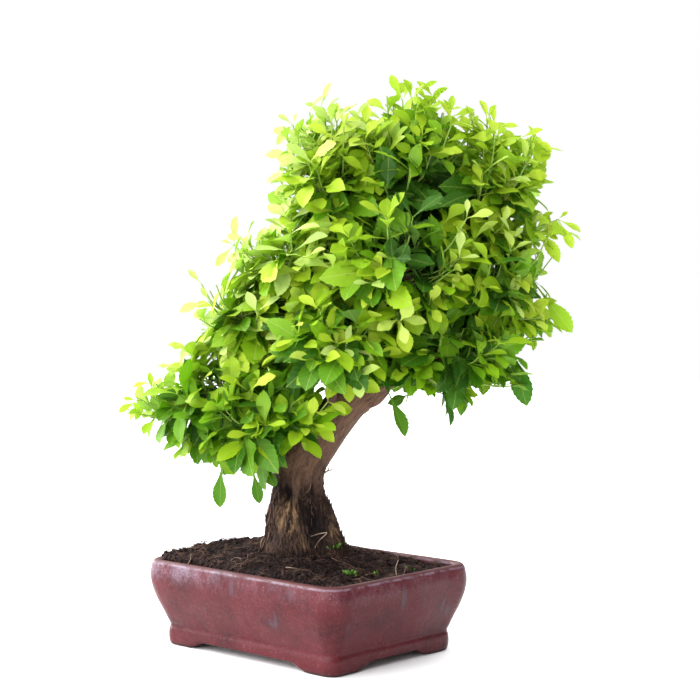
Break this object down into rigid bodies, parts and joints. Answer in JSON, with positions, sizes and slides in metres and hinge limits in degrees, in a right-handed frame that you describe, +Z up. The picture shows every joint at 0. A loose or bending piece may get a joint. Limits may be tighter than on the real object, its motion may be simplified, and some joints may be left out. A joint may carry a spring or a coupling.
{
  "type": "bonsai tree",
  "caption": "Small leaning broadleaf bonsai with a forked trunk and dense toothed foliage, in soil in a glazed rectangular pot on four corner feet.",
  "frame": {"origin": "middle of the whole bonsai's footprint (the bounding box's centre in X and Y), on the surface that the pot's feet stand on", "axes": "+Z up; X along the pot's long side, with the corner that faces the viewer in the picture between -Y and +X; Y along the pot's short side"},
  "size_m": [0.36, 0.37, 0.5703],
  "materials": {
    "glaze": "gloss",
    "potting_soil": "matte",
    "bark": "matte",
    "leaf_light": "satin",
    "leaf_mid": "satin",
    "leaf_dark": "satin"
  },
  "bodies": {
    "root": {"pot": "glaze", "soil": "potting_soil", "trunk_and_branches": "bark", "shoot_01": "leaf_light", "shoot_02": "leaf_light", "shoot_03": "leaf_light", "shoot_04": "leaf_light", "shoot_05": "leaf_light", "shoot_06": "leaf_light", "shoot_07": "leaf_light", "shoot_08": "leaf_mid", "shoot_09": "leaf_mid", "shoot_10": "leaf_mid", "shoot_11": "leaf_light", "shoot_12": "leaf_light", "shoot_13": "leaf_light", "shoot_14": "leaf_light", "shoot_15": "leaf_light", "shoot_16": "leaf_mid", "shoot_17": "leaf_mid", "shoot_18": "leaf_mid", "shoot_19": "leaf_light", "shoot_20": "leaf_light", "shoot_21": "leaf_light", "shoot_22": "leaf_light", "shoot_23": "leaf_light", "shoot_24": "leaf_light", "shoot_25": "leaf_mid", "shoot_26": "leaf_mid", "shoot_27": "leaf_mid", "shoot_28": "leaf_light", "shoot_29": "leaf_light", "shoot_30": "leaf_light", "shoot_31": "leaf_dark", "shoot_32": "leaf_dark", "shoot_33": "leaf_mid", "shoot_34": "leaf_mid", "shoot_35": "leaf_mid", "shoot_36": "leaf_mid", "shoot_37": "leaf_dark", "shoot_38": "leaf_dark", "shoot_39": "leaf_light", "shoot_40": "leaf_light", "shoot_41": "leaf_light", "shoot_42": "leaf_light", "shoot_43": "leaf_light", "shoot_44": "leaf_light", "shoot_45": "leaf_light", "shoot_46": "leaf_mid", "shoot_47": "leaf_mid", "shoot_48": "leaf_dark", "shoot_49": "leaf_dark", "shoot_50": "leaf_dark", "shoot_51": "leaf_mid"}
  },
  "joints": []
}
